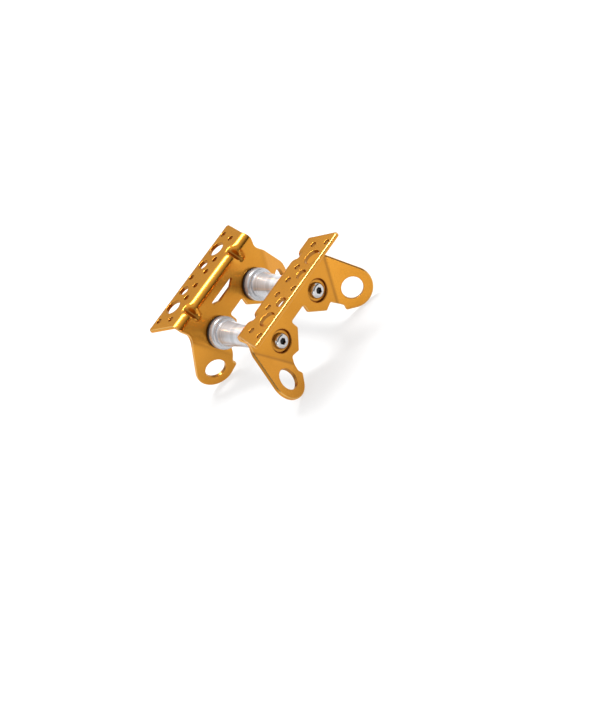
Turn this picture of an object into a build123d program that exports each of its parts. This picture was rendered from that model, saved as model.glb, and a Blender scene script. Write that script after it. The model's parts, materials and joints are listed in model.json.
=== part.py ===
# Rope edge roller for rope work.
# Two bent side plates stand on four lugs and hold two grooved rollers between them, one
# after the other, so that a rope can run over an edge without rubbing on it.
# X runs along the rope, Y along the axles and Z up. The origin lies on the ground under
# the middle of the frame. Lengths are millimetres.

from build123d import *
from math import acos, atan2, cos, hypot, radians, sin, tan
import os

os.makedirs("parts", exist_ok=True)

# Side plates. Heights are measured from the level of the axles.
SHEET = 3.5                     # plate thickness
WEB_OUT = 45.0                  # outer face of each web, from the mid-plane
FLANGE_TOP = 37.6               # top face of the flange
FLANGE_EDGE = 77.6              # free edge of the flange, from the mid-plane
FLANGE_BEND_R = 3.5             # radius on the hollow side of the flange bend
FLANGE_BEND_END = 52.7          # end of the flange at its bend, along X
FLANGE_FREE_END = 60.6          # end of the flange at its free edge, along X
FLANGE_CORNER_R = 2.5

# Lower outline of the web: a notch over the edge, then a tab on each side of it.
NOTCH_ROOF = 2.7
NOTCH_HALF = 8.9
TAB_INNER_CORNER = (8.0, -5.3)
TAB_OUTER_CORNER = (21.2, -19.2)
TAB_CORNER_R = 1.8
WAIST_R = 7.0                   # round waist in the end edge of the web

# Lugs. Each lug is bent outward along a slanted crease. Points on it are given as
# (along, across): along the crease upward, and across it towards the lug's tip,
# from the upper end of the crease.
CREASE_TOP = (52.2, 16.2)       # X and height of the upper end of the crease
CREASE_LEAN = 26.9              # degrees from the vertical
CREASE_START = (0, 0)
LUG_BEND = 30.5                 # degrees outward
LUG_BEND_R = 8.0                # radius on the hollow side of the bend
LUG_R = 17.7                    # round end of the lug
LUG_HOLE_R = 9.35
LUG_CENTRE = (-34.85, 15.75)
WAIST = (4.7, -5.3)
LUG_HEEL = (-44.15, 0.0)        # lower end of the crease
TAB_HEEL = (-40.3, -5.65)
LUG_STEP_IN = (-47.4, 4.9)
LUG_STEP_OUT = (-52.0, 5.8)
BEND_SECTIONS = 7

# Holes that lighten the flange, as (X, distance from the mid-plane).
SMALL_HOLE_R = 2.5
MEDIUM_HOLE_R = 4.75
LARGE_HOLE_R = 7.25
SMALL_HOLES = [(48.9, 72.5), (45.2, 58.5), (21.3, 58.5), (7.7, 58.5)]
MIDDLE_HOLE = (0.0, 72.5)
MEDIUM_HOLE = (14.6, 69.5)
LARGE_HOLE = (32.6, 67.6)

# Slot through the web, and the pressed gussets across the flange bend.
SLOT_TOP, SLOT_TOP_HALF = 24.0, 17.0
SLOT_LOW, SLOT_LOW_HALF = 18.95, 7.8
SLOT_CORNER_R = 0.8
GUSSET_X = 32.6
GUSSET_ON_FLANGE = 51.5         # where the valley starts, from the mid-plane
GUSSET_ON_WEB = 24.0            # height at which the valley ends on the web
GUSSET_HALF_ANGLE = 42.0
GUSSET_OPENING = 9.0            # depth of the groove cutter

# Dished screw seats in the webs.
DISH_RIM_R, DISH_FLOOR_R, DISH_DEPTH = 9.9, 8.9, 2.5
BOSS_ROOT_R, BOSS_FACE_R = 12.1, 10.4
BOSS_HEIGHT = 1.7
SCREW_HOLE_R = 4.4

# Rollers, axles and their screws.
ROLLER_X = 27.0
ROLLER_END = 39.4               # end face of the roller, from the mid-plane
RIM_R, RIM_WIDTH = 14.3, 6.4
RIM_EDGE = 0.6
THROAT_EDGE_R, THROAT_R = 11.3, 9.5
THROAT_FILLET = 0.9
NEARLY = 0.01                   # two radii this close are the same
ROLLER_BORE_R = 7.6
AXLE_R, AXLE_MIDDLE_R = 6.0, 7.0
AXLE_EDGE = 0.4
THREAD_R = 4.0                  # M8
THREAD_PLAY = 0.05
TAP_DEPTH = 20.0
SCREW_LENGTH = 16.0
SCREW_HEAD_R, SCREW_HEAD_H = 7.0, 4.4
SCREW_CROWN_R = 4.2
SCREW_SKIRT = 0.7
SOCKET_FLATS, SOCKET_DEPTH = 5.0, 2.6
SIDE_WASHER_R, SIDE_WASHER_BORE_R = 14.6, 12.3
SIDE_WASHER_T = 1.7
SIDE_WASHER_EDGE = 0.3
SHIM_EDGE = 0.1

# Sealed ball bearings, 12 x 21 x 5, one in each roller end.
BEARING_R, BEARING_WIDTH = 10.5, 5.0
BEARING_RECESS = 0.2            # the bearing lies this far inside the roller's end
OUTER_RING_BORE_R, INNER_RING_R = 9.35, 7.15
RING_EDGE = 0.25
BALL_R, BALL_COUNT = 1.39, 12
BALL_PLAY = 0.03
SHIELD_T, SHIELD_INSET, SHIELD_PLAY = 0.35, 0.1, 0.15
CAGE_R_IN, CAGE_R_OUT, CAGE_WIDTH = 7.55, 8.95, 3.8
CAGE_PLAY = 0.09

# Worked out from the sizes above.
WEB_IN = WEB_OUT - SHEET
BEND_FLOOR = FLANGE_TOP - SHEET - FLANGE_BEND_R
BEND_SIDE = WEB_OUT + FLANGE_BEND_R
BOSS_FACE = WEB_IN - BOSS_HEIGHT
BEARING_OUT = ROLLER_END - BEARING_RECESS
BEARING_IN = BEARING_OUT - BEARING_WIDTH
BEARING_MID = BEARING_OUT - BEARING_WIDTH / 2
PITCH_R = (OUTER_RING_BORE_R + INNER_RING_R) / 2
BEND_REACH = LUG_BEND_R * tan(radians(LUG_BEND / 2))
CREASE = Vector(sin(radians(CREASE_LEAN)), 0, cos(radians(CREASE_LEAN)))
ACROSS = Vector(cos(radians(CREASE_LEAN)), 0, -sin(radians(CREASE_LEAN)))
OUTWARD = Vector(0, 1, 0)


def lug_directions(turn):
    """Directions across the crease and out of the sheet, after turning it outward."""
    across = ACROSS * cos(radians(turn)) + OUTWARD * sin(radians(turn))
    out = OUTWARD * cos(radians(turn)) - ACROSS * sin(radians(turn))
    return across, out


# The lugs' lowest points rest on the ground, which sets the height of the axles.
LUG_ACROSS, LUG_OUT = lug_directions(LUG_BEND)
LUG_LOW = CREASE.Z * LUG_CENTRE[0] + LUG_ACROSS.Z * LUG_CENTRE[1]
LUG_LOW -= LUG_R * hypot(CREASE.Z, LUG_ACROSS.Z) + SHEET * LUG_OUT.Z
AXLE_HEIGHT = -(CREASE_TOP[1] + LUG_LOW)

WEB_PLANE = Plane(origin=(0, WEB_OUT, AXLE_HEIGHT), x_dir=(1, 0, 0), z_dir=(0, -1, 0))
FLANGE_PLANE = Plane.XY.offset(AXLE_HEIGHT + FLANGE_TOP)
CREASE_ORIGIN = Vector(CREASE_TOP[0], WEB_OUT, AXLE_HEIGHT + CREASE_TOP[1])
LUG_PLANE = Plane(origin=CREASE_ORIGIN, x_dir=CREASE, z_dir=LUG_OUT)


def on_web(point):
    """Turn (along, across) in the unbent sheet into X and height on the web."""
    spot = CREASE * point[0] + ACROSS * point[1]
    return CREASE_TOP[0] + spot.X, CREASE_TOP[1] + spot.Z


def on_edge(start, end, across):
    """Point of the straight edge from start to end at a distance across the crease."""
    share = (across - start[1]) / (end[1] - start[1])
    return start[0] + share * (end[0] - start[0]), across


def touch_point(corner, turn):
    """Point of the lug's round end that a straight edge from a corner touches."""
    run = (corner[0] - LUG_CENTRE[0], corner[1] - LUG_CENTRE[1])
    angle = atan2(run[1], run[0]) + turn * acos(LUG_R / hypot(*run))
    return LUG_CENTRE[0] + LUG_R * cos(angle), LUG_CENTRE[1] + LUG_R * sin(angle)


UPPER_TOUCH = touch_point(CREASE_START, 1)
LOWER_TOUCH = touch_point(LUG_STEP_OUT, -1)


def axle_plane(roller_x, side):
    """Plane through an axle, with its first axis outward along it and its second up."""
    origin = (roller_x, 0, AXLE_HEIGHT)
    return Plane(origin=origin, x_dir=(0, side, 0), z_dir=(side, 0, 0))


def across_axle(roller_x, side, distance):
    """Plane square to an axle, at a distance from the mid-plane, that looks outward."""
    origin = (roller_x, side * distance, AXLE_HEIGHT)
    return Plane(origin=origin, x_dir=(1, 0, 0), z_dir=(0, side, 0))


def axle_line(roller_x):
    return Axis((roller_x, 0, AXLE_HEIGHT), (0, 1, 0))


def save(builder, name):
    builder.part.label = name
    export_step(builder.part, f"parts/{name}.step")


# ---------------------------------------------------------------- side plates

# A pressed gusset is a valley across the outside of the bend, with a rib behind it.
# The valley's line runs from the flange's top face down to the web's inner face.
valley_start = Vector(GUSSET_X, GUSSET_ON_FLANGE, AXLE_HEIGHT + FLANGE_TOP)
valley_end = Vector(GUSSET_X, WEB_IN, AXLE_HEIGHT + GUSSET_ON_WEB)
valley_length = (valley_end - valley_start).length
valley_way = (valley_end - valley_start).normalized()
VALLEY_PLANE = Plane(origin=valley_start, x_dir=(1, 0, 0), z_dir=valley_way)
valley_slope = tan(radians(GUSSET_HALF_ANGLE))
rib_depth = SHEET / sin(radians(GUSSET_HALF_ANGLE))
gusset_run = valley_length / 2 + GUSSET_OPENING


def valley_wedge(depth):
    """Corners of a wedge that opens to the outside of the bend, its point at a depth."""
    half_width = (GUSSET_OPENING + depth) * valley_slope
    return (0, -depth), (half_width, GUSSET_OPENING), (-half_width, GUSSET_OPENING)


with BuildPart() as gusset_groove:
    with BuildSketch(VALLEY_PLANE.offset(valley_length / 2)):
        with BuildLine():
            Polyline(*valley_wedge(0), close=True)
        make_face()
    extrude(amount=gusset_run, both=True)

with BuildPart() as gusset_rib:
    with BuildSketch(axle_plane(GUSSET_X, 1)):
        with BuildLine():
            rise = Line((WEB_IN, 0), (WEB_IN, BEND_FLOOR))
            turn = RadiusArc(rise @ 1, (BEND_SIDE, FLANGE_TOP), FLANGE_BEND_R + SHEET)
            Polyline(turn @ 1, (FLANGE_EDGE, FLANGE_TOP), (FLANGE_EDGE, 0), rise @ 0)
        make_face()
    extrude(amount=GUSSET_X, both=True)
    with BuildSketch(VALLEY_PLANE.offset(valley_length / 2)):
        with BuildLine():
            Polyline(*valley_wedge(rib_depth), close=True)
        make_face()
    extrude(amount=gusset_run, both=True, mode=Mode.INTERSECT)

with BuildPart() as right_side_plate:
    # Web, from the middle to the start of the lug's bend
    with BuildSketch(WEB_PLANE):
        with BuildLine():
            bend_top = on_web(on_edge(WAIST, CREASE_START, -BEND_REACH))
            bend_low = on_web(on_edge(TAB_HEEL, LUG_HEEL, -BEND_REACH))
            end_edge = FilletPolyline(
                (FLANGE_BEND_END, BEND_FLOOR), on_web(WAIST), bend_top, radius=WAIST_R
            )
            low_edge = FilletPolyline(
                bend_low,
                on_web(TAB_HEEL),
                TAB_OUTER_CORNER,
                TAB_INNER_CORNER,
                (NOTCH_HALF, NOTCH_ROOF),
                (0, NOTCH_ROOF),
                radius=TAB_CORNER_R,
            )
            Line(end_edge @ 1, low_edge @ 0)
            Polyline(low_edge @ 1, (0, BEND_FLOOR), end_edge @ 0)
        make_face()
    extrude(amount=SHEET)
    # Bend between the web and the flange
    with BuildSketch(axle_plane(0, 1)):
        with Locations((BEND_SIDE, BEND_FLOOR)):
            Circle(FLANGE_BEND_R + SHEET)
            Circle(FLANGE_BEND_R, mode=Mode.SUBTRACT)
            Rectangle(WEB_IN, WEB_IN, align=(Align.MAX, Align.MIN), mode=Mode.INTERSECT)
    extrude(amount=FLANGE_BEND_END)
    # Flange
    with BuildSketch(FLANGE_PLANE):
        with BuildLine():
            flange_edge = FilletPolyline(
                (FLANGE_BEND_END, BEND_SIDE),
                (FLANGE_FREE_END, FLANGE_EDGE),
                (0, FLANGE_EDGE),
                radius=FLANGE_CORNER_R,
            )
            Polyline(flange_edge @ 1, (0, BEND_SIDE), flange_edge @ 0)
        make_face()
    extrude(amount=-SHEET)
    # Bend between the web and the lug
    for section in range(BEND_SECTIONS + 1):
        share = section / BEND_SECTIONS
        across_way, out_way = lug_directions(LUG_BEND * share)
        reach = LUG_BEND_R * sin(radians(LUG_BEND * share)) - BEND_REACH
        lift = LUG_BEND_R * (1 - cos(radians(LUG_BEND * share)))
        spot = CREASE_ORIGIN + ACROSS * reach + OUTWARD * lift - out_way * (SHEET / 2)
        upper = on_edge(WAIST, CREASE_START, -BEND_REACH)[0] * (1 - share)
        upper += on_edge(CREASE_START, UPPER_TOUCH, BEND_REACH)[0] * share
        lower = on_edge(TAB_HEEL, LUG_HEEL, -BEND_REACH)[0] * (1 - share)
        lower += on_edge(LUG_HEEL, LUG_STEP_IN, BEND_REACH)[0] * share
        with BuildSketch(Plane(origin=spot, x_dir=CREASE, z_dir=across_way)):
            with Locations(((upper + lower) / 2, 0)):
                Rectangle(upper - lower, SHEET)
    loft(ruled=True)
    # Lug
    with BuildSketch(LUG_PLANE):
        with BuildLine():
            upper_edge = Line(on_edge(CREASE_START, UPPER_TOUCH, BEND_REACH), UPPER_TOUCH)
            heel_edge = FilletPolyline(
                on_edge(LUG_HEEL, LUG_STEP_IN, BEND_REACH),
                LUG_STEP_IN,
                LUG_STEP_OUT,
                LOWER_TOUCH,
                radius=TAB_CORNER_R,
            )
            Polyline(upper_edge @ 1, LUG_CENTRE, heel_edge @ 1)
            Line(heel_edge @ 0, upper_edge @ 0)
        make_face()
        with Locations(LUG_CENTRE):
            Circle(LUG_R)
            Circle(LUG_HOLE_R, mode=Mode.SUBTRACT)
    extrude(amount=-SHEET)
    # Dished screw seat
    with BuildSketch(axle_plane(ROLLER_X, 1)):
        with BuildLine():
            Polyline(
                (WEB_IN, 0),
                (WEB_IN, BOSS_ROOT_R),
                (BOSS_FACE, BOSS_FACE_R),
                (BOSS_FACE, 0),
                close=True,
            )
        make_face()
    revolve(axis=axle_line(ROLLER_X))
    with BuildSketch(axle_plane(ROLLER_X, 1)):
        with BuildLine():
            Polyline(
                (WEB_OUT, 0),
                (WEB_OUT, DISH_RIM_R),
                (WEB_OUT - DISH_DEPTH, DISH_FLOOR_R),
                (WEB_OUT - DISH_DEPTH, SCREW_HOLE_R),
                (BOSS_FACE, SCREW_HOLE_R),
                (BOSS_FACE, 0),
                close=True,
            )
        make_face()
    revolve(axis=axle_line(ROLLER_X), mode=Mode.SUBTRACT)
    add(gusset_rib.part)
    add(gusset_groove.part, mode=Mode.SUBTRACT)
    # The other half, then the holes
    mirror(about=Plane.YZ)
    with BuildSketch(FLANGE_PLANE):
        with Locations(MIDDLE_HOLE, SMALL_HOLES):
            Circle(SMALL_HOLE_R)
        with Locations(MEDIUM_HOLE):
            Circle(MEDIUM_HOLE_R)
        with Locations(LARGE_HOLE):
            Circle(LARGE_HOLE_R)
        mirror(about=Plane.YZ)
    extrude(amount=-SHEET, mode=Mode.SUBTRACT)
    with BuildSketch(WEB_PLANE):
        with BuildLine():
            Polyline(
                (SLOT_TOP_HALF, SLOT_TOP),
                (SLOT_LOW_HALF, SLOT_LOW),
                (-SLOT_LOW_HALF, SLOT_LOW),
                (-SLOT_TOP_HALF, SLOT_TOP),
                close=True,
            )
        make_face()
        fillet(vertices(), radius=SLOT_CORNER_R)
    extrude(amount=SHEET, mode=Mode.SUBTRACT)
save(right_side_plate, "right_side_plate")

with BuildPart() as left_side_plate:
    mirror(right_side_plate.part, about=Plane.XZ)
save(left_side_plate, "left_side_plate")


# ---------------------------------------------------------------- rollers and axles


def make_roller(name, roller_x):
    throat_edge = ROLLER_END - RIM_WIDTH
    with BuildPart() as roller:
        with BuildSketch(axle_plane(roller_x, 1)):
            with BuildLine():
                throat = ThreePointArc(
                    (-throat_edge, THROAT_EDGE_R), (0, THROAT_R), (throat_edge, THROAT_EDGE_R)
                )
                for side in (-1, 1):
                    Polyline(
                        (side * throat_edge, THROAT_EDGE_R),
                        (side * throat_edge, RIM_R - RIM_EDGE),
                        (side * (throat_edge + RIM_EDGE), RIM_R),
                        (side * (ROLLER_END - RIM_EDGE), RIM_R),
                        (side * ROLLER_END, RIM_R - RIM_EDGE),
                        (side * ROLLER_END, BEARING_R),
                        (side * BEARING_IN, BEARING_R),
                        (side * BEARING_IN, ROLLER_BORE_R),
                        (0, ROLLER_BORE_R),
                    )
            make_face()
        revolve(axis=axle_line(roller_x))
        circles = roller.edges().filter_by(GeomType.CIRCLE)
        corners = [edge for edge in circles if abs(edge.radius - THROAT_EDGE_R) < NEARLY]
        fillet(corners, radius=THROAT_FILLET)
    save(roller, name)


def make_axle(name, roller_x):
    with BuildPart() as axle:
        with BuildSketch(axle_plane(roller_x, 1)):
            with BuildLine():
                Polyline(
                    (0, 0),
                    (0, AXLE_MIDDLE_R),
                    (BEARING_IN, AXLE_MIDDLE_R),
                    (BEARING_IN, AXLE_R),
                    (BOSS_FACE - AXLE_EDGE, AXLE_R),
                    (BOSS_FACE, AXLE_R - AXLE_EDGE),
                    (BOSS_FACE, THREAD_R + THREAD_PLAY),
                    (BOSS_FACE - TAP_DEPTH, THREAD_R + THREAD_PLAY),
                    (BOSS_FACE - TAP_DEPTH - THREAD_R, 0),
                    close=True,
                )
            make_face()
        revolve(axis=axle_line(roller_x))
        mirror(about=Plane.XZ)
    save(axle, name)


# ---------------------------------------------------------------- pieces at each roller end


def make_screw(name, roller_x, side):
    seat = WEB_OUT - DISH_DEPTH
    with BuildPart() as screw:
        with BuildSketch(axle_plane(roller_x, side)):
            with BuildLine():
                shank = Polyline(
                    (seat + SCREW_HEAD_H, 0),
                    (seat - SCREW_LENGTH, 0),
                    (seat - SCREW_LENGTH, THREAD_R - AXLE_EDGE),
                    (seat - SCREW_LENGTH + AXLE_EDGE, THREAD_R),
                    (seat, THREAD_R),
                    (seat, SCREW_HEAD_R),
                    (seat + SCREW_SKIRT, SCREW_HEAD_R),
                )
                crown = (seat + SCREW_HEAD_H, SCREW_CROWN_R)
                TangentArc(shank @ 1, crown, tangent=(1, 0))
                Line(crown, shank @ 0)
            make_face()
        revolve(axis=axle_line(roller_x))
        with BuildSketch(across_axle(roller_x, side, seat + SCREW_HEAD_H)):
            RegularPolygon(SOCKET_FLATS / 2, 6, major_radius=False)
        extrude(amount=-SOCKET_DEPTH, mode=Mode.SUBTRACT)
    save(screw, name)


def make_collar(name, roller_x, side, inside, outside, bore_r, outer_r, edge):
    """A round flat piece on the axle: a washer, a shim or a plain ring."""
    with BuildPart() as collar:
        with BuildSketch(axle_plane(roller_x, side)):
            with BuildLine():
                Polyline(
                    (inside, bore_r),
                    (inside, outer_r - edge),
                    (inside + edge, outer_r),
                    (outside - edge, outer_r),
                    (outside, outer_r - edge),
                    (outside, bore_r),
                    close=True,
                )
            make_face()
        revolve(axis=axle_line(roller_x))
    save(collar, name)


def make_bearing_ring(name, roller_x, side, bore_r, outer_r):
    """A bearing ring with the balls' groove in the face that looks at them."""
    middle = (BEARING_MID, (bore_r + outer_r) / 2)
    with BuildPart() as ring:
        with BuildSketch(axle_plane(roller_x, side)):
            with Locations(middle):
                Rectangle(BEARING_WIDTH, outer_r - bore_r)
            chamfer(vertices(), RING_EDGE)
            with Locations((BEARING_MID, PITCH_R)):
                Circle(BALL_R + BALL_PLAY, mode=Mode.SUBTRACT)
        revolve(axis=axle_line(roller_x))
    save(ring, name)


def make_balls(name, roller_x, side):
    with BuildPart(across_axle(roller_x, side, BEARING_MID)) as balls:
        with PolarLocations(PITCH_R, BALL_COUNT):
            Sphere(BALL_R)
    save(balls, name)


def make_cage(name, roller_x, side):
    with BuildPart(across_axle(roller_x, side, BEARING_MID)) as cage:
        Cylinder(CAGE_R_OUT, CAGE_WIDTH)
        Cylinder(CAGE_R_IN, CAGE_WIDTH, mode=Mode.SUBTRACT)
        with PolarLocations(PITCH_R, BALL_COUNT):
            Cylinder(BALL_R + CAGE_PLAY, PITCH_R, rotation=(0, 90, 0), mode=Mode.SUBTRACT)
    save(cage, name)


def make_shields(name, roller_x, side):
    """Two thin rings that close the bearing, held in its outer ring."""
    with BuildPart() as shields:
        with BuildSketch(axle_plane(roller_x, side)):
            for face in (-1, 1):
                middle = BEARING_WIDTH / 2 - SHIELD_INSET - SHIELD_T / 2
                height = OUTER_RING_BORE_R - INNER_RING_R - SHIELD_PLAY
                with Locations((BEARING_MID + face * middle, OUTER_RING_BORE_R - height / 2)):
                    Rectangle(SHIELD_T, height)
        revolve(axis=axle_line(roller_x))
    save(shields, name)


for end, roller_x in (("front", ROLLER_X), ("rear", -ROLLER_X)):
    make_roller(f"{end}_roller", roller_x)
    make_axle(f"{end}_axle", roller_x)
    for hand, side in (("right", 1), ("left", -1)):
        place = f"{end}_{hand}"
        washer_in = WEB_IN - SIDE_WASHER_T
        make_screw(f"{place}_screw", roller_x, side)
        make_collar(
            f"{place}_side_washer", roller_x, side,
            washer_in, WEB_IN, SIDE_WASHER_BORE_R, SIDE_WASHER_R, SIDE_WASHER_EDGE,
        )
        make_collar(
            f"{place}_shim", roller_x, side,
            BEARING_OUT, BOSS_FACE, AXLE_R, AXLE_MIDDLE_R, SHIM_EDGE,
        )
        make_bearing_ring(f"{place}_outer_ring", roller_x, side, OUTER_RING_BORE_R, BEARING_R)
        make_bearing_ring(f"{place}_inner_ring", roller_x, side, AXLE_R, INNER_RING_R)
        make_balls(f"{place}_balls", roller_x, side)
        make_cage(f"{place}_cage", roller_x, side)
        make_shields(f"{place}_shields", roller_x, side)
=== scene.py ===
"""Rope edge roller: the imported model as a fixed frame, with its finished pieces around it."""

import json
import math

import bmesh
import bpy
import mathutils
import numpy as np
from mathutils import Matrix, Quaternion, Vector


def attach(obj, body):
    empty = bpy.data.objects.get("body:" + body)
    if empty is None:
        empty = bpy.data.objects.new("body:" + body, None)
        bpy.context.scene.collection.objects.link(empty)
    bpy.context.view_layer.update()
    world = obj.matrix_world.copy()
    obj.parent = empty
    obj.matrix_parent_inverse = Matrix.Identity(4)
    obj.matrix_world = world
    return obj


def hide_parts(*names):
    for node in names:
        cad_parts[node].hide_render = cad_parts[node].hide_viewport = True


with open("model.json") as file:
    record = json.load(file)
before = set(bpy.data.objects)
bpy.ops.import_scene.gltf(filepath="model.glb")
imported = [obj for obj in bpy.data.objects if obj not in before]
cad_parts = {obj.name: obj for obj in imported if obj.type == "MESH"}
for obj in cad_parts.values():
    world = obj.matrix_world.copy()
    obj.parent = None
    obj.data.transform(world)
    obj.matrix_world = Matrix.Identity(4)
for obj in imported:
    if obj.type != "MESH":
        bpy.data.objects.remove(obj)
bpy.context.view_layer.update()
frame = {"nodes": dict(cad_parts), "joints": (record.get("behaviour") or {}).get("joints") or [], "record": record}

# Shapes are drawn in millimetres; the frame and the scene are in metres.
MM = 0.001


# ---------------------------------------------------------------- materials


def new_material(name):
    """A material with an empty node tree but for its Principled shader."""
    material = bpy.data.materials.new(name)
    material.use_nodes = True
    tree = material.node_tree
    shader = tree.nodes["Principled BSDF"]
    return material, tree, shader


def add_node(tree, kind, **values):
    node = tree.nodes.new(kind)
    for key, value in values.items():
        if key in node.inputs:
            node.inputs[key].default_value = value
        else:
            setattr(node, key, value)
    return node


def noise(tree, scale, detail=4.0, vector=None):
    node = add_node(tree, "ShaderNodeTexNoise", Scale=scale, Detail=detail)
    if vector is None:
        vector = add_node(tree, "ShaderNodeTexCoord").outputs["Object"]
    tree.links.new(vector, node.inputs["Vector"])
    return node.outputs["Fac"]


def levels(tree, source, stops):
    """A colour or grey that runs through stops (place, colour) as the source grows."""
    node = tree.nodes.new("ShaderNodeValToRGB")
    elements = node.color_ramp.elements
    while len(elements) < len(stops):
        elements.new(0.5)
    for element, (place, colour) in zip(elements, stops):
        element.position = place
        element.color = (*colour, 1.0) if isinstance(colour, tuple) else (colour,) * 3 + (1.0,)
    tree.links.new(source, node.inputs["Fac"])
    return node.outputs["Color"]


def ramp(tree, source, low, high, start=0.3, end=0.7):
    """Colours (or greys) from low to high as the source goes from start to end."""
    return levels(tree, source, [(start, low), (end, high)])


def fill(tree, node, name, source):
    """Feed an input of a node from an output, or set it to a number or a colour."""
    if isinstance(source, (int, float, tuple)):
        node.inputs[name].default_value = source
    else:
        tree.links.new(source, node.inputs[name])


def calculate(tree, operation, *sources):
    node = add_node(tree, "ShaderNodeMath", operation=operation)
    for i, source in enumerate(sources):
        fill(tree, node, i, source)
    return node.outputs[0]


def blend(tree, under, over, share, kind="MIX"):
    """One colour laid over another by a share from 0 to 1."""
    node = add_node(tree, "ShaderNodeMix", data_type="RGBA", blend_type=kind)
    for name, source in (("Factor", share), ("A", under), ("B", over)):
        fill(tree, node, name, source)
    return node.outputs["Result"]


def bump(tree, shader, height, distance, strength):
    node = add_node(tree, "ShaderNodeBump", Distance=distance, Strength=strength)
    tree.links.new(height, node.inputs["Height"])
    tree.links.new(node.outputs["Normal"], shader.inputs["Normal"])


# Colours of the plates: the sheet itself, a painted highlight on its rounded cut edge, and painted shade in its
# pressed creases, gusset valleys, hole walls and dish rings.
GOLD_LOW, GOLD_HIGH = (0.555, 0.220, 0.008), (0.620, 0.258, 0.017)
GOLD_EDGE_HIGHLIGHT = (0.72, 0.42, 0.13, 1.0)
GOLD_PAINTED_SHADE = (0.16, 0.055, 0.008, 1.0)
# Sizes of the noise, as repeats per metre
GOLD_CLOUDS, GOLD_SHEEN, GOLD_GRAIN = 28.0, 900.0, 5200.0
GOLD_GRAIN_DEPTH = 0.000012


def gold_aluminium():
    """Blasted and anodised sheet: satin gold under a clear oxide, with a fine grain, and a painted highlight and
    painted shade laid on from the plates' measures.
    """
    material, tree, shader = new_material("gold_aluminium")
    shader.inputs["Metallic"].default_value = 1.0
    shader.inputs["Specular Tint"].default_value = (0.95, 0.70, 0.40, 1.0)
    shader.inputs["Coat Weight"].default_value = 0.45
    shader.inputs["Coat Roughness"].default_value = 0.2
    shader.inputs["Coat IOR"].default_value = 1.5
    colour = ramp(tree, noise(tree, GOLD_CLOUDS, 3.0), GOLD_LOW, GOLD_HIGH)
    # cut lays a painted highlight on the rounded outer edge; pressed lays painted shade in hole walls, gusset
    # valleys, lug creases and dish rings
    for measure, other in (("cut", GOLD_EDGE_HIGHLIGHT), ("pressed", GOLD_PAINTED_SHADE)):
        share = add_node(tree, "ShaderNodeAttribute", attribute_name=measure)
        colour = blend(tree, colour, other, share.outputs["Fac"])
    tree.links.new(colour, shader.inputs["Base Color"])
    rough = ramp(tree, noise(tree, GOLD_SHEEN, 3.0), 0.18, 0.27)
    tree.links.new(rough, shader.inputs["Roughness"])
    bump(tree, shader, noise(tree, GOLD_GRAIN, 2.0), GOLD_GRAIN_DEPTH, 0.5)
    return material


def around_axle(tree):
    """Distance from the nearer axle's centre line, and the place along it."""
    split = add_node(tree, "ShaderNodeSeparateXYZ")
    place = add_node(tree, "ShaderNodeTexCoord").outputs["Object"]
    tree.links.new(place, split.inputs[0])
    axle = frame["joints"][0]["pos_m"]
    either_end = calculate(tree, "ABSOLUTE", split.outputs["X"])
    squares = []
    for source, centre in ((either_end, abs(axle[0])), (split.outputs["Z"], axle[2])):
        shift = calculate(tree, "SUBTRACT", source, centre)
        squares.append(calculate(tree, "MULTIPLY", shift, shift))
    return calculate(tree, "SQRT", calculate(tree, "ADD", *squares)), split.outputs["Y"]


SOCKET_BLUR = 0.04              # share of its radius over which a socket's painted shade begins
SOCKET_FADE = 0.0002            # depth in metres over which it begins
SOCKET_SHADE = 0.04              # what is left of the colour under a socket's painted shade


def with_socket_shade(tree, colour, radius, along, socket):
    """Darken a colour with painted shade inside a socket (radius, distance of its mouth from
    the mid-plane)."""
    wide, mouth = socket
    outside = []
    for source, start, end in (
        (radius, wide * (1 - SOCKET_BLUR), wide * (1 + SOCKET_BLUR)),
        (calculate(tree, "ABSOLUTE", along), mouth - SOCKET_FADE, mouth),
    ):
        node = add_node(tree, "ShaderNodeMapRange", **{"From Min": start, "From Max": end})
        tree.links.new(source, node.inputs["Value"])
        outside.append(node.outputs["Result"])
    # Painted shade: the colour is darkened inside the socket
    socket_shade = ramp(tree, calculate(tree, "MAXIMUM", *outside), SOCKET_SHADE, 1.0, 0.0, 1.0)
    return blend(tree, colour, socket_shade, 1.0, "MULTIPLY")


STREAKS = 0.2                   # streaks of colour for each turning mark


def turned(name, low, high, rough, pitch, depth, metallic=1.0, socket=None):
    """Metal or plastic turned on a lathe: rings that follow each piece's own axle."""
    material, tree, shader = new_material(name)
    shader.inputs["Metallic"].default_value = metallic
    radius, along = around_axle(tree)
    section = add_node(tree, "ShaderNodeCombineXYZ")
    tree.links.new(radius, section.inputs["X"])
    tree.links.new(along, section.inputs["Y"])
    rings = noise(tree, 1.0 / pitch, 2.0, section.outputs[0])
    streaks = noise(tree, STREAKS / pitch, 3.0, section.outputs[0])
    colour = ramp(tree, streaks, low, high)
    # Painted shade inside a screw's socket
    if socket:
        colour = with_socket_shade(tree, colour, radius, along, socket)
    tree.links.new(colour, shader.inputs["Base Color"])
    tree.links.new(ramp(tree, rings, *rough), shader.inputs["Roughness"])
    bump(tree, shader, rings, depth, 0.6)
    return material


def speckled(name, low, high, rough, scale, depth):
    """A moulded surface with slow colour changes and a fine grain."""
    material, tree, shader = new_material(name)
    tree.links.new(ramp(tree, noise(tree, scale * 0.1), low, high), shader.inputs["Base Color"])
    grain = noise(tree, scale)
    tree.links.new(ramp(tree, grain, *rough), shader.inputs["Roughness"])
    bump(tree, shader, grain, depth, 0.5)
    return material


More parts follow.
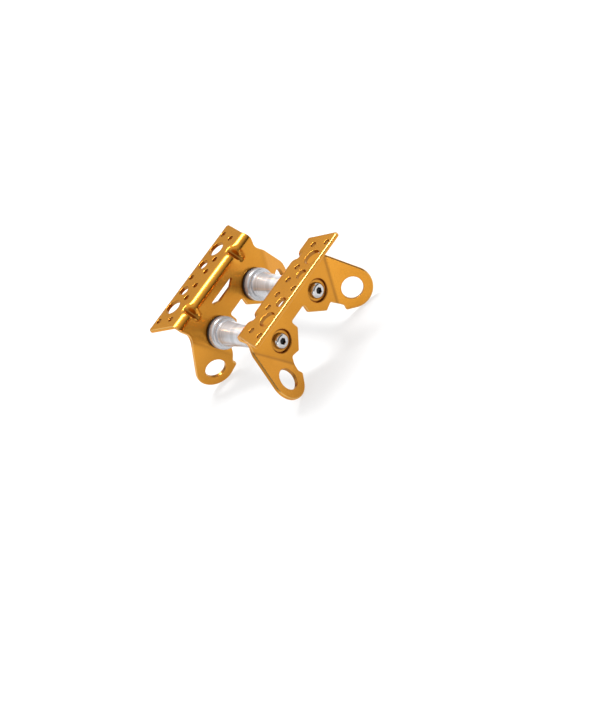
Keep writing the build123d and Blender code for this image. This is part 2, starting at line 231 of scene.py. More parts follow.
MATERIALS = {
    "gold_aluminium": gold_aluminium(),
    "turned_aluminium": turned(
        "turned_aluminium", (0.40, 0.41, 0.43), (0.68, 0.69, 0.72),
        rough=(0.16, 0.26), pitch=0.00035, depth=0.000003, metallic=0.55,
    ),
    "stainless_steel": turned(
        "stainless_steel", (0.52, 0.52, 0.53), (0.62, 0.62, 0.63),
        rough=(0.05, 0.12), pitch=0.0005, depth=0.000004, socket=(0.0034, 0.0466),
    ),
    "axle_steel": turned(
        "axle_steel", (0.50, 0.51, 0.53), (0.58, 0.59, 0.61),
        rough=(0.22, 0.34), pitch=0.0004, depth=0.000008,
    ),
    "bearing_steel": turned(
        "bearing_steel", (0.60, 0.61, 0.64), (0.68, 0.69, 0.72),
        rough=(0.10, 0.18), pitch=0.0003, depth=0.000003,
    ),
    "shield_steel": turned(
        "shield_steel", (0.45, 0.46, 0.48), (0.53, 0.54, 0.56),
        rough=(0.26, 0.38), pitch=0.0005, depth=0.000008,
    ),
    "black_polymer": turned(
        "black_polymer", (0.010, 0.010, 0.011), (0.022, 0.022, 0.023),
        rough=(0.45, 0.62), pitch=0.0005, depth=0.00001, metallic=0.0,
    ),
    "cage_polymer": speckled(
        "cage_polymer", (0.55, 0.46, 0.30), (0.66, 0.57, 0.40),
        rough=(0.40, 0.55), scale=2500.0, depth=0.00001,
    ),
}

WELD_GAP = 0.002
SHEET_EDGE, SHEET_EDGE_STEPS = 0.45, 3
PIECE_EDGE, PIECE_EDGE_STEPS = 0.08, 2
SHARP = math.radians(35)


def finish_node(name, slot):
    """Give a CAD node its finish, welded, with its edges slightly rounded."""
    piece = frame["nodes"][name]
    piece.data.materials.clear()
    piece.data.materials.append(MATERIALS[slot])
    weld = piece.modifiers.new("weld", "WELD")
    weld.merge_threshold = WELD_GAP * MM
    sheet = slot == "gold_aluminium"
    edge = piece.modifiers.new("edge", "BEVEL")
    edge.width = (SHEET_EDGE if sheet else PIECE_EDGE) * MM
    edge.segments = SHEET_EDGE_STEPS if sheet else PIECE_EDGE_STEPS
    edge.limit_method = "ANGLE"
    edge.angle_limit = SHARP
    edge.harden_normals = True


for subpart in frame["record"]["subparts"]:
    finish_node(subpart["node"], subpart["material_slot"])


# ---------------------------------------------------------------- side plates
# Each plate is drawn flat, as (along X, up the sheet), and then bent. A place in the sheet
# has a third number, through: -1 on the face towards the rope, 1 on the outer face.

SHEET = 3.5
WEB_OUT = 45.0
WEB_MIDDLE = WEB_OUT - SHEET / 2
FLANGE_TOP = 37.6
FLANGE_EDGE = 77.6
FLANGE_BEND_R = 3.5 + SHEET / 2
FLANGE_BEND_X, FLANGE_EDGE_X = 52.7, 60.6
BEND_START = FLANGE_TOP - SHEET / 2 - FLANGE_BEND_R
BEND_END = BEND_START + FLANGE_BEND_R * math.pi / 2
BEND_SIDE = WEB_MIDDLE + FLANGE_BEND_R

# Corners of the outline, and the radii that round them
NOTCH_CORNER = (8.9, 2.7)
TAB_INNER_CORNER, TAB_OUTER_CORNER = (8.0, -5.3), (21.2, -19.2)
TAB_CORNER_R, WAIST_R, LUG_ROOT_R = 1.8, 7.0, 4.0
FLANGE_ROOT_R, FLANGE_SIDE_R, FLANGE_CORNER_R = 4.0, 6.0, 2.5

# The lug's places are given along and across its crease, from the crease's upper end.
CREASE_TOP = (52.2, 16.2)
CREASE_LEAN = math.radians(26.9)
CREASE_LENGTH, CREASE_PAST = 54.0, 6.0
LUG_BEND = math.radians(30.5)
LUG_BEND_R = 8.0
LUG_REACH = LUG_BEND_R * math.tan(LUG_BEND / 2)
LUG_R = 17.7
LUG_HOLE_R = 9.35
LUG_CENTRE = (-34.85, 15.75)
WAIST = (4.7, -5.3)
TAB_HEEL = (-40.3, -5.65)
LUG_STEP_IN = (-47.4, 4.9)
LUG_STEP_OUT = (-52.0, 5.8)

# Round holes in one half of the flange, as (X, distance from the mid-plane, radius)
FLANGE_HOLES = [
    (48.9, 72.5, 2.5), (45.2, 58.5, 2.5), (21.3, 58.5, 2.5), (7.7, 58.5, 2.5),
    (14.6, 69.5, 4.75), (32.6, 67.6, 7.25),
]
MIDDLE_HOLE = (0.0, 72.5, 2.5)
SLOT = [(17.0, 24.0), (7.8, 18.95)]
SLOT_CORNER_R = 0.8
SCREW_HOLE_R = 4.4

ROLLER_X = 27.0
AXLE_HEIGHT = frame["joints"][0]["pos_m"][2] / MM

# Pressed gussets: a valley from the flange to the web, with a rib behind it
GUSSET_X, GUSSET_SPAN = 32.6, (19.0, 50.0)
GUSSET_HALF = 7.5
VALLEY_START = (51.5, FLANGE_TOP)
VALLEY_END = (WEB_OUT - SHEET, 24.0)
VALLEY_WIDE, RIB_WIDE = 3.0, 3.6
RIB_DEPTH = 4.9
GUSSET_BLEND = 0.8

# Dished screw seats, as (height, radius at which it starts, slope, softness of its lip)
DISH = (2.5, 10.1, 2.5, 0.9)
BOSS = (1.7, 12.3, 1.0, 0.7)
SEAT_BLEND = 0.5

# Rounding of the cut edges, and the spacing of points along them
EDGE_ROUND, HOLE_ROUND = 1.0, 0.35
EDGE_STEPS = 4
LOOP_STEP, SLOT_STEP = 0.8, 0.5
HOLE_POINTS = 28                # at least so many around a hole

# Spacing of the points inside the sheet, and the flat sheet that they cover
COARSE, BENT, FINE = 2.0, 1.6, 0.5
BEND_STEP, BEND_MARGIN = 0.6, 0.6
FLAT_BOX = (-64, 64, -44, 70)
BEND_HALF = 53.0
ABOVE_LUGS = 20
CLEAR_OF_DISH, CLEAR_OF_CREASE, CLEAR_OF_EDGE = 15.6, 1.4, 0.35
# Rings of points around a screw seat, as (inner radius, outer radius, spacing, points)
SEAT_RINGS = [(5.5, 8.5, 0.5, 72), (8.5, 10.9, 0.2, 96), (11.0, 15.1, 0.45, 72)]

# How much painted shade darkens the gold: in hole walls, gussets, creases and dish rings
HOLE_SHADE, GUSSET_SHADE, RING_SHADE = 0.6, 0.5, 0.5
HOLE_SHADE_FROM = 0.9            # through the sheet
GUSSET_SHADE_HALF, GUSSET_SHADE_WIDE = 4.0, 1.3
CREASE_SHADE_OUT, CREASE_SHADE_IN = (0.42, 1.1), (0.16, 2.2)
RING_R, RING_WIDE = 9.2, 1.1


def on_sheet(along, across):
    """Turn a place given along and across the lug's crease into the flat sheet's own."""
    return (
        CREASE_TOP[0] + along * math.sin(CREASE_LEAN) + across * math.cos(CREASE_LEAN),
        CREASE_TOP[1] + along * math.cos(CREASE_LEAN) - across * math.sin(CREASE_LEAN),
    )


def lug_tip():
    """Corner in which the lug's two straight edges would meet, beyond its round end."""
    angles = []
    for corner, turn in (((0.0, 0.0), 1), (LUG_STEP_OUT, -1)):
        run = (corner[0] - LUG_CENTRE[0], corner[1] - LUG_CENTRE[1])
        angles.append(math.atan2(run[1], run[0]) + turn * math.acos(LUG_R / math.hypot(*run)))
    opening = (angles[1] - angles[0]) % math.tau / 2
    way = angles[0] + opening
    reach = LUG_R / math.cos(opening)
    return on_sheet(LUG_CENTRE[0] + reach * math.cos(way), LUG_CENTRE[1] + reach * math.sin(way))


def rounded(corners, spacing, least=3):
    """A closed outline through corners (x, y, radius), with points at most a spacing apart.
    Each round corner has at least so many steps."""
    outline = []
    count = len(corners)
    for i, (x, y, radius) in enumerate(corners):
        here = np.array((x, y))
        back = np.array(corners[i - 1][:2]) - here
        ahead = np.array(corners[(i + 1) % count][:2]) - here
        back, ahead = back / np.linalg.norm(back), ahead / np.linalg.norm(ahead)
        half = math.acos(float(np.clip(back @ ahead, -1, 1))) / 2
        if radius == 0 or half > math.pi / 2 - 0.01:
            outline.append(here)
            continue
        cut = radius / math.tan(half)
        centre = here + (back + ahead) / np.linalg.norm(back + ahead) * radius / math.sin(half)
        start, end = here + back * cut - centre, here + ahead * cut - centre
        turn = math.atan2(start[0] * end[1] - start[1] * end[0], start @ end)
        steps = max(least, math.ceil(abs(turn) * radius / spacing))
        for step in range(steps + 1):
            angle = turn * step / steps
            cosine, sine = math.cos(angle), math.sin(angle)
            outline.append(centre + np.array(((cosine, -sine), (sine, cosine))) @ start)
    full = []
    for i, here in enumerate(outline):
        ahead = outline[(i + 1) % len(outline)]
        steps = max(1, math.ceil(np.linalg.norm(ahead - here) / spacing))
        full += [here + (ahead - here) * step / steps for step in range(steps)]
    return np.array(full)


def circle(centre, radius, count):
    turn = np.arange(count) * math.tau / count
    return np.stack((centre[0] + radius * np.cos(turn), centre[1] + radius * np.sin(turn)), 1)


def inset(loop, distance):
    """Move a loop to its left by a distance, square to its own run."""
    run = np.roll(loop, -1, 0) - np.roll(loop, 1, 0)
    run /= np.linalg.norm(run, axis=1)[:, None]
    return loop + distance * np.stack((-run[:, 1], run[:, 0]), 1)


def plate_loops():
    """The plate's edge and its holes, each with the sheet on its left."""
    half = [
        (*NOTCH_CORNER, TAB_CORNER_R),
        (*TAB_INNER_CORNER, TAB_CORNER_R),
        (*TAB_OUTER_CORNER, TAB_CORNER_R),
        (*on_sheet(*TAB_HEEL), TAB_CORNER_R),
        (*on_sheet(*LUG_STEP_IN), TAB_CORNER_R),
        (*on_sheet(*LUG_STEP_OUT), TAB_CORNER_R),
        (*lug_tip(), LUG_R),
        (*on_sheet(0, 0), LUG_ROOT_R),
        (*on_sheet(*WAIST), WAIST_R),
        (FLANGE_BEND_X, BEND_START, FLANGE_ROOT_R),
        (FLANGE_BEND_X, BEND_END, FLANGE_SIDE_R),
        (FLANGE_EDGE_X, BEND_END + FLANGE_EDGE - BEND_SIDE, FLANGE_CORNER_R),
    ]
    other = [(-x, y, radius) for x, y, radius in reversed(half)]
    loops = [rounded(half + other, LOOP_STEP)]
    holes = [MIDDLE_HOLE]
    for side in (-1, 1):
        holes += [(side * x, from_middle, radius) for x, from_middle, radius in FLANGE_HOLES]
    holes = [((x, y - BEND_SIDE + BEND_END), radius) for x, y, radius in holes]
    for side in (-1, 1):
        x, y = on_sheet(*LUG_CENTRE)
        holes.append(((side * x, y), LUG_HOLE_R))
        holes.append(((side * ROLLER_X, 0.0), SCREW_HOLE_R))
    for centre, radius in holes:
        count = max(HOLE_POINTS, round(math.tau * radius / LOOP_STEP))
        loops.append(circle(centre, radius, count)[::-1])
    corners = SLOT + [(-x, y) for x, y in reversed(SLOT)]
    loops.append(rounded([(x, y, SLOT_CORNER_R) for x, y in corners], SLOT_STEP))
    return loops


def soft_min(a, b, softness):
    """The lesser of two depths, with a smooth change over where they are this close."""
    share = np.clip(0.5 + 0.5 * (b - a) / softness, 0, 1)
    return b * (1 - share) + a * share - softness * share * (1 - share)


def press_gussets(x, y, z, side):
    """Push places near the flange bend into the valley, or out into the rib behind it."""
    run = np.array(VALLEY_END) - np.array(VALLEY_START)
    run /= np.linalg.norm(run)
    height = (y - VALLEY_START[0]) * run[1] - (z - VALLEY_START[1]) * run[0]
    deep = height if side < 0 else height + RIB_DEPTH
    wide = VALLEY_WIDE if side < 0 else RIB_WIDE
    offset = np.abs(x) - GUSSET_X
    push = deep - soft_min(deep, np.zeros_like(x), GUSSET_BLEND)
    moved = np.where(np.abs(offset) < GUSSET_HALF, -np.exp(-((offset / wide) ** 2)) * push, 0.0)
    return y + moved * run[1], z - moved * run[0]


def press_seats(x, up, y, side):
    """Push places around the screws inward: a dish outside, a boss inside."""
    height, start_r, slope, lip = DISH if side > 0 else BOSS
    from_axle = np.hypot(np.abs(x) - ROLLER_X, up)
    step = soft_min(slope * (start_r - from_axle), np.full_like(x, height), SEAT_BLEND)
    return y + soft_min(-step, np.zeros_like(x), lip)


def along_crease(x, up):
    """Places along and across the crease of the lug on their own side."""
    dx, dz = np.abs(x) - CREASE_TOP[0], up - CREASE_TOP[1]
    lean_x, lean_z = math.sin(CREASE_LEAN), math.cos(CREASE_LEAN)
    return dx * lean_x + dz * lean_z, dx * lean_z - dz * lean_x


def bend_lugs(x, up, y, z, lift):
    """Bend the sheet outward beyond each lug's crease."""
    along, across = along_crease(x, up)
    angle = np.clip((across + LUG_REACH) / (2 * LUG_REACH), 0, 1) * LUG_BEND
    beyond = np.maximum(across - LUG_REACH, 0)
    inward = SHEET / 2 - lift
    over = -LUG_REACH + LUG_BEND_R * np.sin(angle) + beyond * math.cos(LUG_BEND)
    over += inward * np.sin(angle)
    out = LUG_BEND_R * (1 - np.cos(angle)) + beyond * math.sin(LUG_BEND)
    out -= inward * np.cos(angle)
    lug_x, lug_z = on_sheet(along, over)
    lug = (across > -LUG_REACH) & (up < BEND_START)
    x = np.where(lug, np.sign(x) * lug_x, x)
    return x, np.where(lug, WEB_OUT + out, y), np.where(lug, lug_z, z)


def sheet_face(flat, side):
    """Places on one face of the bent sheet: side is -1 for the inner face, 1 for the outer."""
    x, up = flat[:, 0], flat[:, 1]
    lift = side * SHEET / 2
    turn = np.clip((up - BEND_START) / FLANGE_BEND_R, 0, math.pi / 2)
    y = BEND_SIDE - (FLANGE_BEND_R - lift) * np.cos(turn) + np.maximum(up - BEND_END, 0)
    z = np.minimum(up, BEND_START) + (FLANGE_BEND_R - lift) * np.sin(turn)
    y, z = press_gussets(x, y, z, side)
    y = press_seats(x, up, y, side)
    x, y, z = bend_lugs(x, up, y, z, lift)
    return np.stack((x, y, z + AXLE_HEIGHT), 1)


def sheet_place(flat, through):
    inner, outer = sheet_face(flat, -1), sheet_face(flat, 1)
    return inner * (1 - through) / 2 + outer * (1 + through) / 2


def inside(points, loop):
    """Which points lie inside a closed loop, by counting crossings."""
    odd = np.zeros(len(points), bool)
    x, y = points[:, 0], points[:, 1]
    ahead = np.roll(loop, -1, 0)
    for (x0, y0), (x1, y1) in zip(loop, ahead):
        if y0 != y1:
            odd ^= ((y0 > y) != (y1 > y)) & (x < (x1 - x0) * (y - y0) / (y1 - y0) + x0)
    return odd


def grid(x_low, x_high, y_low, y_high, step_x, step_y):
    xs = np.linspace(x_low, x_high, max(2, round((x_high - x_low) / step_x) + 1))
    ys = np.linspace(y_low, y_high, max(2, round((y_high - y_low) / step_y) + 1))
    return np.stack(np.meshgrid(xs, ys), -1).reshape(-1, 2)


def near_zone(points, zone):
    x_low, x_high, y_low, y_high = zone
    x, y = np.abs(points[:, 0]), points[:, 1]
    return (x > x_low) & (x < x_high) & (y > y_low) & (y < y_high)


def gusset_zone(reach):
    return GUSSET_X - reach, GUSSET_X + reach, *GUSSET_SPAN


def inner_points(loops):
    """Points within the flat sheet, closer together where it is bent or pressed."""
    gusset = gusset_zone(GUSSET_HALF)
    bend = (-1.0, BEND_HALF, BEND_START - BEND_MARGIN, BEND_END + BEND_MARGIN)
    coarse = grid(*FLAT_BOX, COARSE, COARSE)
    half = BEND_HALF - 1
    rolled = grid(-half, half, bend[2] + BEND_MARGIN, bend[3] - BEND_MARGIN, BENT, BEND_STEP)
    pressed = grid(*gusset, FINE, FINE)
    dish = np.concatenate([
        circle((ROLLER_X, 0.0), radius, count)
        for low, high, spacing, count in SEAT_RINGS
        for radius in np.arange(low, high, spacing)
    ])
    reach = LUG_REACH + BEND_MARGIN
    crease = grid(-CREASE_LENGTH, CREASE_PAST, -reach, reach, BENT, FINE)
    crease = np.array([on_sheet(a, b) for a, b in crease])
    from_dish = np.hypot(np.abs(coarse[:, 0]) - ROLLER_X, coarse[:, 1])
    from_crease = np.abs(along_crease(coarse[:, 0], coarse[:, 1])[1])
    keep = ~near_zone(coarse, gusset) & ~near_zone(coarse, bend) & (from_dish > CLEAR_OF_DISH)
    flat_enough = (from_crease > LUG_REACH + CLEAR_OF_CREASE) | (coarse[:, 1] > ABOVE_LUGS)
    sets = [coarse[keep & flat_enough], rolled[~near_zone(rolled, gusset)]]
    for side in (1, -1):
        for points in (pressed, dish, crease):
            sets.append(points * (side, 1))
    points = np.concatenate(sets)
    clear = inside(points, loops[0])
    for loop in loops[1:]:
        clear &= ~inside(points, loop)
    points = points[clear]
    edge = np.concatenate(loops)
    gap = np.array([np.min(np.sum((edge - p) ** 2, 1)) for p in points])
    return points[gap > CLEAR_OF_EDGE**2]


def fill_sheet(loops):
    """Triangles between the loops. Gives the places, the triangles, and the place that
    each point of each loop in turn has become."""
    edges, first = [], 0
    for loop in loops:
        edges += [(first + i, first + (i + 1) % len(loop)) for i in range(len(loop))]
        first += len(loop)
    vectors = [Vector(p) for p in np.concatenate(loops + [inner_points(loops)])]
    out = mathutils.geometry.delaunay_2d_cdt(vectors, edges, [], 1, 1e-5)
    flat = np.array([tuple(v) for v in out[0]])
    triangles = np.array([f for f in out[2] if len(f) == 3])
    middle = flat[triangles].mean(1)
    kept = inside(middle, loops[0])
    for loop in loops[1:]:
        kept &= ~inside(middle, loop)
    triangles = triangles[kept]
    one, two, three = (flat[triangles[:, k]] for k in range(3))
    back_to_front = np.cross(two - one, three - one) < 0
    triangles[back_to_front] = triangles[back_to_front][:, ::-1]
    found = {source: i for i, sources in enumerate(out[3]) for source in sources}
    return flat, triangles, found


def edge_curve(edge_r):
    """Steps around a cut edge from the outer face, as (distance from the edge, through)."""
    curve = []
    for step in range(1, EDGE_STEPS + 1):
        angle = math.pi / 2 * step / EDGE_STEPS
        depth = edge_r * (1 - math.cos(angle)) / (SHEET / 2)
        curve.append((edge_r * (1 - math.sin(angle)), 1 - depth))
    return curve + [(reach, -through) for reach, through in reversed(curve)]


def gusset_valley_shade(flat):
    """Painted shade along the bottom of each valley: how much it darkens the gold."""
    inner = sheet_face(flat, -1)
    below = np.minimum(inner[:, 1] - WEB_OUT + SHEET, FLANGE_TOP + AXLE_HEIGHT - inner[:, 2])
    valley_shade = np.exp(-(((np.abs(flat[:, 0]) - GUSSET_X) / GUSSET_SHADE_WIDE) ** 2))
    valley_shade *= np.clip(below / 2, 0, 1)
    return GUSSET_SHADE * np.where(near_zone(flat, gusset_zone(GUSSET_SHADE_HALF)), valley_shade, 0)


def crease_and_ring_shade(places):
    """Painted shade along the lugs' creases and in the dish rings: how much it darkens the gold."""
    x, up = np.abs(places[:, 0]), places[:, 2] - AXLE_HEIGHT
    across = along_crease(x, up)[1]
    outer = places[:, 1] > WEB_MIDDLE + np.maximum(across, 0) * math.tan(LUG_BEND)
    amount, width = (np.where(outer, *pair) for pair in zip(CREASE_SHADE_OUT, CREASE_SHADE_IN))
    crease = np.where(up < BEND_START, amount * np.exp(-((across / width) ** 2)), 0)
    from_axle = np.hypot(x - ROLLER_X, up)
    ring = RING_SHADE * np.exp(-(((from_axle - RING_R) / RING_WIDE) ** 2))
    return np.maximum(crease, ring)


def strips(rings):
    """Four-sided faces between each closed ring of points and the next."""
    faces = []
    for ring, following in zip(rings, rings[1:]):
        for i in range(len(ring)):
            j = (i + 1) % len(ring)
            faces.append((ring[i], ring[j], following[j], following[i]))
    return faces


def make_plate(name, hand):
    """A plate's mesh, with two measures on its points: cut (how strong the painted highlight is on the
    rounding of the outer edge) and pressed (how strong the painted shade is in holes, creases and dishes)."""
    loops = plate_loops()
    rounds = [EDGE_ROUND] + [HOLE_ROUND] * (len(loops) - 1)
    inner_loops = [inset(loop, edge_r) for loop, edge_r in zip(loops, rounds)]
    flat, triangles, found = fill_sheet(inner_loops)
    count = len(flat)
    places = [sheet_face(flat, 1), sheet_face(flat, -1)]
    faces = [tuple(t) for t in triangles[:, ::-1]] + [tuple(t + count) for t in triangles]
    painted_shade = [np.zeros(count), gusset_valley_shade(flat)]
    painted_highlight = [np.zeros(2 * count)]
    first, total = 0, 2 * count
    for loop, edge_r in zip(loops, rounds):
        size = len(loop)
        rings = [[found[first + i] for i in range(size)]]
        first += size
        for reach, through in edge_curve(edge_r):
            places.append(sheet_place(inset(loop, reach), through))
            # Painted shade on the walls of the holes
            in_hole = edge_r == HOLE_ROUND and abs(through) < HOLE_SHADE_FROM
            painted_shade.append(np.full(size, HOLE_SHADE if in_hole else 0.0))
            # Painted highlight, strongest midway round the rounding of the outer edge
            share = reach / edge_r if edge_r == EDGE_ROUND else 0.0
            painted_highlight.append(np.full(size, 4 * share * (1 - share)))
            rings.append(list(range(total, total + size)))
            total += size
        rings.append([i + count for i in rings[0]])
        faces += strips(rings)
    places = np.concatenate(places)
    painted_shade = np.maximum(np.concatenate(painted_shade), crease_and_ring_shade(places))
    places[:, 1] *= hand
    if hand < 0:
        faces = [face[::-1] for face in faces]
    mesh = bpy.data.meshes.new(name)
    mesh.from_pydata((places * MM).tolist(), [], [[int(i) for i in face] for face in faces])
    # pressed carries the painted shade and cut the painted highlight
    for measure, values in (("pressed", painted_shade), ("cut", np.concatenate(painted_highlight))):
        layer = mesh.attributes.new(measure, "FLOAT", "POINT")
        layer.data.foreach_set("value", values.astype(np.float32))
    mesh.validate()
    mesh.shade_smooth()
    return mesh


def add_piece(name, mesh, body, slot, *nodes):
    """Put a finished mesh in the scene in place of the CAD nodes that it stands for."""
    piece = bpy.data.objects.new(name, mesh)
    bpy.context.scene.collection.objects.link(piece)
    mesh.materials.append(MATERIALS[slot])
    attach(piece, body)
    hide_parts(*nodes)
    return piece


for hand_name, hand in (("right", 1), ("left", -1)):
    node = f"{hand_name}_side_plate"
    plate = add_piece(f"{hand_name}_plate", make_plate(node, hand), "frame", "gold_aluminium", node)
    even = plate.modifiers.new("even", "WEIGHTED_NORMAL")
    even.keep_sharp = False


# ---------------------------------------------------------------- turned pieces


def spin(name, roller_x, side, rings, closed, segments=128):
    """Turn rings about an axle. A ring is (distance from the mid-plane, radius, hexagon),
    where hexagon is true for a six-sided ring with that distance to its flats."""
    points = []
    for along, radius, hexagon in rings:
        for i in range(segments):
            angle = math.tau * i / segments
            reach = radius
            if hexagon:
                sixth = math.pi / 3
                reach = radius / math.cos(angle % sixth - sixth / 2)
            points.append((
                roller_x + reach * math.cos(angle),
                side * along,
                AXLE_HEIGHT + reach * math.sin(angle),
            ))
    numbers = [range(i * segments, (i + 1) * segments) for i in range(len(rings))]
    faces = strips(numbers + numbers[:1] if closed else numbers)
    mesh = bpy.data.meshes.new(name)
    mesh.from_pydata([[c * MM for c in p] for p in points], [], faces)
    work = bmesh.new()
    work.from_mesh(mesh)
    bmesh.ops.remove_doubles(work, verts=work.verts, dist=1e-8)
    bmesh.ops.recalc_face_normals(work, faces=work.faces)
    work.to_mesh(mesh)
    work.free()
    mesh.shade_smooth()
    return mesh


ROLLER_END = 39.4
RIM_R, RIM_WIDTH = 14.3, 6.4
RIM_INNER_ROUND, RIM_OUTER_ROUND = 2.6, 0.6
THROAT_EDGE_R, THROAT_R = 11.3, 9.5
THROAT_STEPS = 24
RELIEF_WIDTH, RELIEF_DEPTH = 0.5, 0.4
BEARING_R, BEARING_IN, BORE_R = 10.5, 34.2, 7.6
WASHER_R, WASHER_BORE_R = 14.3, 12.3
WASHER_START, WASHER_END = 39.8, 41.5

SCREW_SEAT, SCREW_TOP, SCREW_LENGTH = 42.5, 46.9, 16.0
THREAD_R, THREAD_POINT = 4.0, 0.5
HEAD_R, CROWN_R = 7.0, 3.7
HEAD_EDGE, HEAD_SKIRT, HEAD_STEPS = 0.4, 0.8, 14
FLATS_R = 2.5                   # from the socket's middle to a flat
SOCKET_MOUTH, SOCKET_CHAMFER, SOCKET_DEPTH, SOCKET_POINT = 1.22, 0.3, 2.6, 0.7


def roller_rings():
    rim_edge = ROLLER_END - RIM_WIDTH
    edge = rim_edge - RELIEF_WIDTH
    relief_r = THROAT_EDGE_R - RELIEF_DEPTH
    rise = THROAT_EDGE_R - THROAT_R
    throat_r = (edge**2 + rise**2) / (2 * rise)
    spread = math.asin(edge / throat_r)
    corners = [
        (edge, THROAT_EDGE_R, 0.2),
        (edge, relief_r, 0.15),
        (rim_edge, relief_r, 0.15),
        (rim_edge, RIM_R, RIM_INNER_ROUND),
        (ROLLER_END, RIM_R, RIM_OUTER_ROUND),
        (ROLLER_END, BEARING_R, 0.25),
        (BEARING_IN, BEARING_R, 0.2),
        (BEARING_IN, BORE_R, 0.3),
    ]
    other = [(-along, radius, round_r) for along, radius, round_r in reversed(corners)]
    throat = []
    for step in range(1, THROAT_STEPS):
        angle = spread * (2 * step / THROAT_STEPS - 1)
        throat.append((throat_r * math.sin(angle), THROAT_R + throat_r * (1 - math.cos(angle)), 0))
    outline = rounded(corners + other + throat, 4.0, 5)
    return [(along, radius, False) for along, radius in outline]


def washer_rings():
    corners = [
        (WASHER_START, WASHER_BORE_R, 0.15),
        (WASHER_START, WASHER_R, 0.5),
        (WASHER_END, WASHER_R, 0.5),
        (WASHER_END, WASHER_BORE_R, 0.15),
    ]
    return [(along, radius, False) for along, radius in rounded(corners, 2.0, 4)]


def screw_rings():
    """A button-head screw from the point of its shank to the bottom of its socket."""
    seat, top = SCREW_SEAT, SCREW_TOP
    point = seat - SCREW_LENGTH
    rings = [
        (point, 0.0),
        (point, THREAD_R - THREAD_POINT),
        (point + THREAD_POINT, THREAD_R),
        (seat, THREAD_R),
        (seat, HEAD_R - HEAD_EDGE),
        (seat + 0.3 * HEAD_EDGE, HEAD_R - 0.3 * HEAD_EDGE),
        (seat + HEAD_EDGE, HEAD_R),
    ]
    skirt = seat + HEAD_SKIRT
    for step in range(HEAD_STEPS + 1):
        angle = math.pi / 2 * step / HEAD_STEPS
        rise = (top - skirt) * math.sin(angle) ** 1.05
        rings.append((skirt + rise, CROWN_R + (HEAD_R - CROWN_R) * math.cos(angle) ** 0.95))
    floor = top - SOCKET_DEPTH
    socket = [
        (top - 0.02, FLATS_R * SOCKET_MOUTH, False),
        (top - SOCKET_CHAMFER, FLATS_R, True),
        (floor, FLATS_R, True),
        (floor - 0.02, FLATS_R * 0.96, True),
        (floor - SOCKET_POINT, 0.0, False),
    ]
    return [(along, radius, False) for along, radius in rings] + socket


for end, roller_x in (("front", ROLLER_X), ("rear", -ROLLER_X)):
    mesh = spin(f"{end}_roller", roller_x, 1, roller_rings(), True, 160)
    add_piece(f"{end}_grooved_roller", mesh, f"{end}_roller", "turned_aluminium", f"{end}_roller")
    for hand_name, hand in (("right", 1), ("left", -1)):
        place = f"{end}_{hand_name}"
        mesh = spin(f"{place}_washer", roller_x, hand, washer_rings(), True)
        add_piece(f"{place}_black_washer", mesh, "frame", "black_polymer", f"{place}_side_washer")
        mesh = spin(f"{place}_screw", roller_x, hand, screw_rings(), False, 96)
        add_piece(f"{place}_button_screw", mesh, "frame", "stainless_steel", f"{place}_screw")


# ---------------------------------------------------------------- floor, light and camera

WHITE = (1.0, 1.0, 1.0, 1.0)
FLOOR_SIZE, FLOOR_GREY, FLOOR_GLOW = 12.0, (0.25, 0.26), 0.68
# Brightness of the studio by height, as (height, brightness), on the far side and on the
# near side, and the near one's share, as (nearness, share)
FAR_SKY = [(0.05, 1.0), (0.35, 0.60), (0.46, 0.66), (0.60, 1.2), (1.0, 1.0)]
NEAR_SKY = [(0.22, 0.06), (0.80, 0.95), (1.0, 1.0)]
NEAR_SHARE = [(0.0, 0.0), (0.6, 1.0)]


def add_floor():
    bpy.ops.mesh.primitive_plane_add(size=FLOOR_SIZE, location=(0, 0, 0))
    floor = bpy.context.object
    floor.name = "floor"
    material, tree, shader = new_material("floor")
    cloud = noise(tree, 3.0, 2.0)
    tree.links.new(ramp(tree, cloud, *FLOOR_GREY), shader.inputs["Base Color"])
    shader.inputs["Roughness"].default_value = 0.9
    shader.inputs["Specular IOR Level"].default_value = 0.2
    shader.inputs["Emission Color"].default_value = WHITE
    shader.inputs["Emission Strength"].default_value = FLOOR_GLOW
    floor.data.materials.append(material)


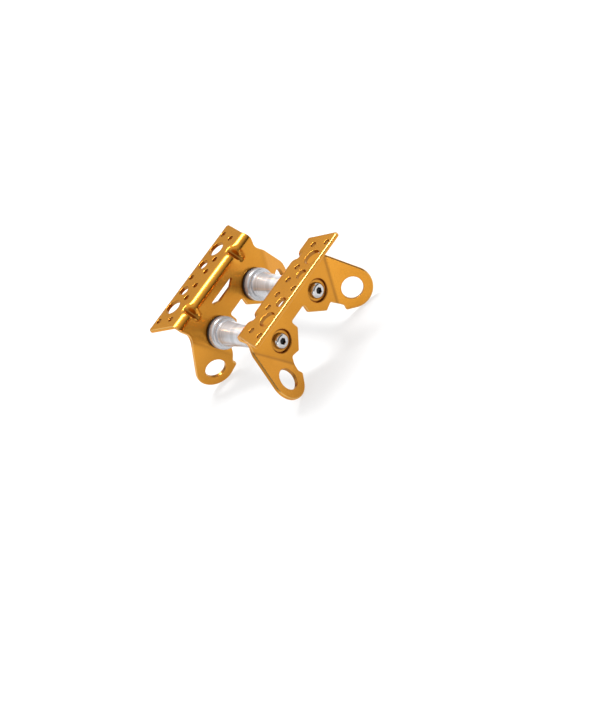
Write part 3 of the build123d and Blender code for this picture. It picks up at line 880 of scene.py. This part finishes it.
def add_softbox(name, direction, distance, size, radiance):
    """A soft light that faces the origin from a direction; distance and size are metres."""
    light = bpy.data.lights.new(name, "AREA")
    light.shape = "RECTANGLE"
    light.size, light.size_y = size
    light.energy = radiance * math.pi * size[0] * size[1]
    lamp = bpy.data.objects.new(name, light)
    bpy.context.scene.collection.objects.link(lamp)
    way = Vector(direction).normalized()
    lamp.location = way * distance
    lamp.rotation_euler = way.to_track_quat("Z", "Y").to_euler()


def add_world():
    """A white studio: bright behind the object and above, darker low down on the near side.
    The camera itself sees plain white."""
    world = bpy.data.worlds.new("studio")
    bpy.context.scene.world = world
    world.use_nodes = True
    tree = world.node_tree
    way = add_node(tree, "ShaderNodeTexCoord").outputs["Generated"]
    split = add_node(tree, "ShaderNodeSeparateXYZ")
    tree.links.new(way, split.inputs[0])
    near = levels(tree, split.outputs["Z"], NEAR_SKY)
    far = levels(tree, split.outputs["Z"], FAR_SKY)
    sky = blend(tree, far, near, levels(tree, split.outputs["Y"], NEAR_SHARE))
    seen = add_node(tree, "ShaderNodeLightPath").outputs["Is Camera Ray"]
    background = tree.nodes["Background"]
    tree.links.new(blend(tree, sky, WHITE, seen), background.inputs["Color"])
    background.inputs["Strength"].default_value = 1.0


def add_camera():
    """A long lens on the near side, above the frame and turned about its own axis."""
    place = Vector((0.5259, 1.2716, 0.8172))
    target = Vector((0.0165, 0.0202, -0.0021))
    lens = bpy.data.cameras.new("camera")
    lens.sensor_width = 36.0
    lens.lens = 94.6
    lens.clip_start = 0.01
    camera = bpy.data.objects.new("camera", lens)
    bpy.context.scene.collection.objects.link(camera)
    camera.location = place
    level = (target - place).to_track_quat("-Z", "Y")
    tilt = Quaternion((0, 0, 1), math.radians(-43.0))
    camera.rotation_mode = "QUATERNION"
    camera.rotation_quaternion = level @ tilt
    bpy.context.scene.camera = camera


bpy.context.scene.view_settings.view_transform = "Standard"
add_floor()
add_world()
add_softbox("overhead", (-0.32, -0.27, 0.91), 1.6, (1.2, 0.42), 13.0)
add_softbox("overhead_core", (-0.32, -0.25, 0.91), 1.55, (1.2, 0.16), 26.0)
add_softbox("right", (0.56, 0.82, 0.10), 1.6, (0.9, 0.55), 1.9)
add_camera()
